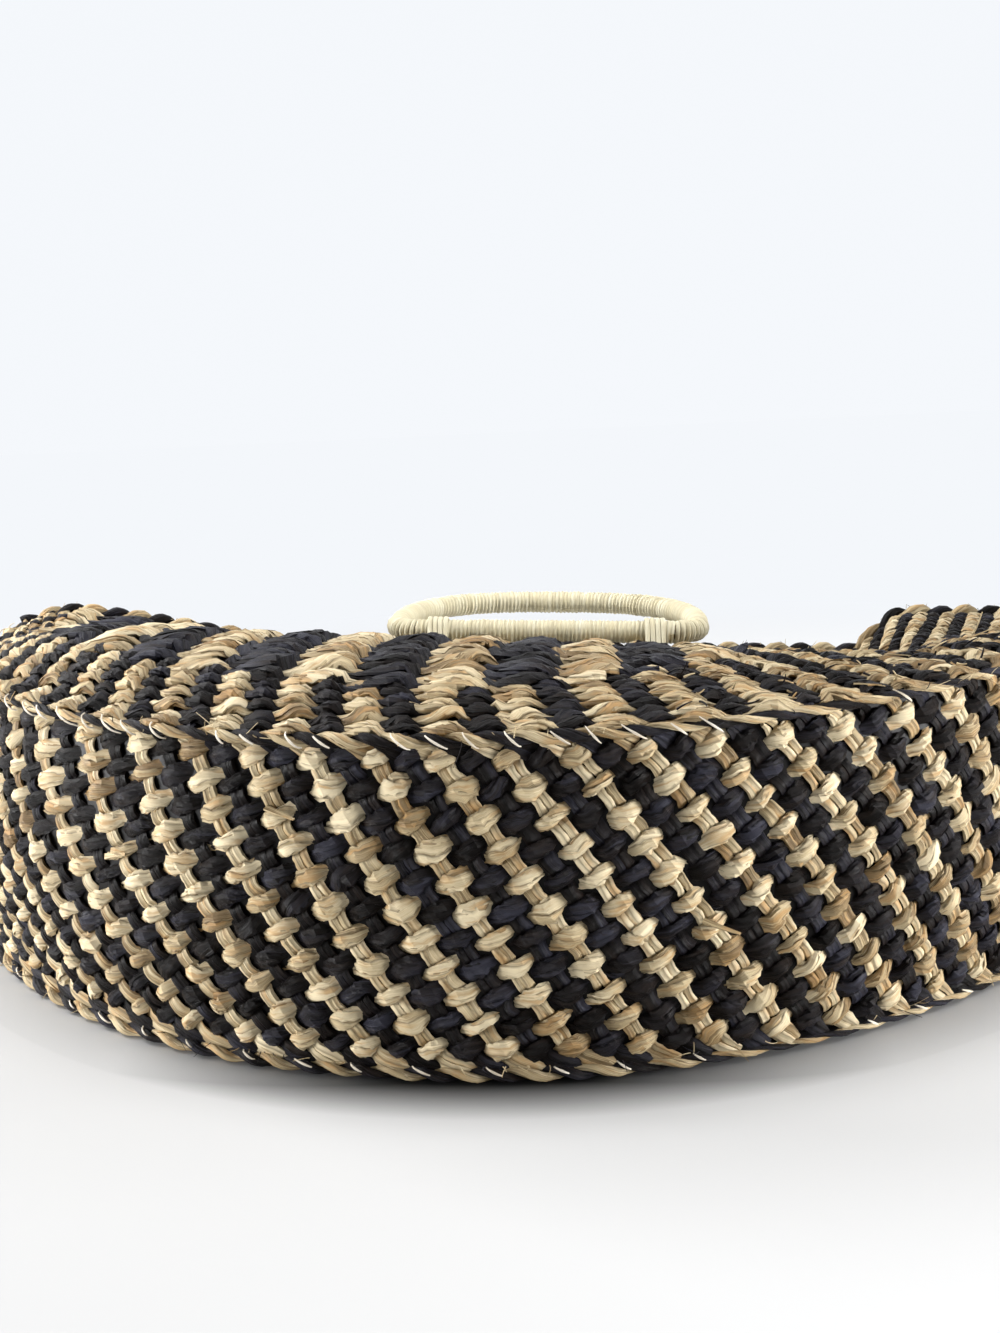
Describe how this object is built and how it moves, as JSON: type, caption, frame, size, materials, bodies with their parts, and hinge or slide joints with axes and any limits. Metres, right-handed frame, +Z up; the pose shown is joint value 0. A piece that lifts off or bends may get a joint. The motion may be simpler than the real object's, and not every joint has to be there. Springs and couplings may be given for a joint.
{
  "type": "beach tote",
  "caption": "Half-moon plaited straw tote in natural and dark stripes, lying flat, with a sewn base gusset, a rope rim and twine-wound D handles lashed to the mouth.",
  "frame": {"origin": "on the surface that the tote lies on, under the middle of its bounding box", "axes": "+X to the right across the mouth's width, +Y from the rounded base towards the mouth and the handles, +Z up from the back panel to the front panel"},
  "size_m": [0.617, 0.4915, 0.1496],
  "materials": {
    "natural_straw": "dry plaited straw, satin",
    "black_straw": "dyed black plaited straw, satin",
    "handle_twine": "pale wound plant-fibre twine, matt",
    "rattan": "bent rattan rod",
    "sewing_thread": "pale twisted sewing thread"
  },
  "bodies": {
    "bag": {"front_panel": "natural_straw", "back_panel": "natural_straw", "gusset": "black_straw", "front_seam": "sewing_thread", "back_seam": "sewing_thread", "front_rim": "black_straw", "back_rim": "black_straw", "left_rim": "black_straw", "right_rim": "black_straw", "front_left_lashing": "handle_twine", "front_right_lashing": "handle_twine", "back_left_lashing": "handle_twine", "back_right_lashing": "handle_twine"},
    "front_handle": {"front_handle_core": "rattan", "front_handle_wrap": "handle_twine", "front_handle_binding": "handle_twine"},
    "back_handle": {"back_handle_core": "rattan", "back_handle_wrap": "handle_twine", "back_handle_binding": "handle_twine"}
  },
  "joints": [
    {"name": "front_handle_swing", "type": "hinge", "parent": "bag", "child": "front_handle", "pos_m": [0.00039, 0.14218, 0.09658], "axis": [0.9991, 0, -0.042], "range_deg": [-15, 150]},
    {"name": "back_handle_swing", "type": "hinge", "parent": "bag", "child": "back_handle", "pos_m": [0, 0.14218, 0.00981], "axis": [1, 0, 0], "range_deg": [0, 60]}
  ]
}
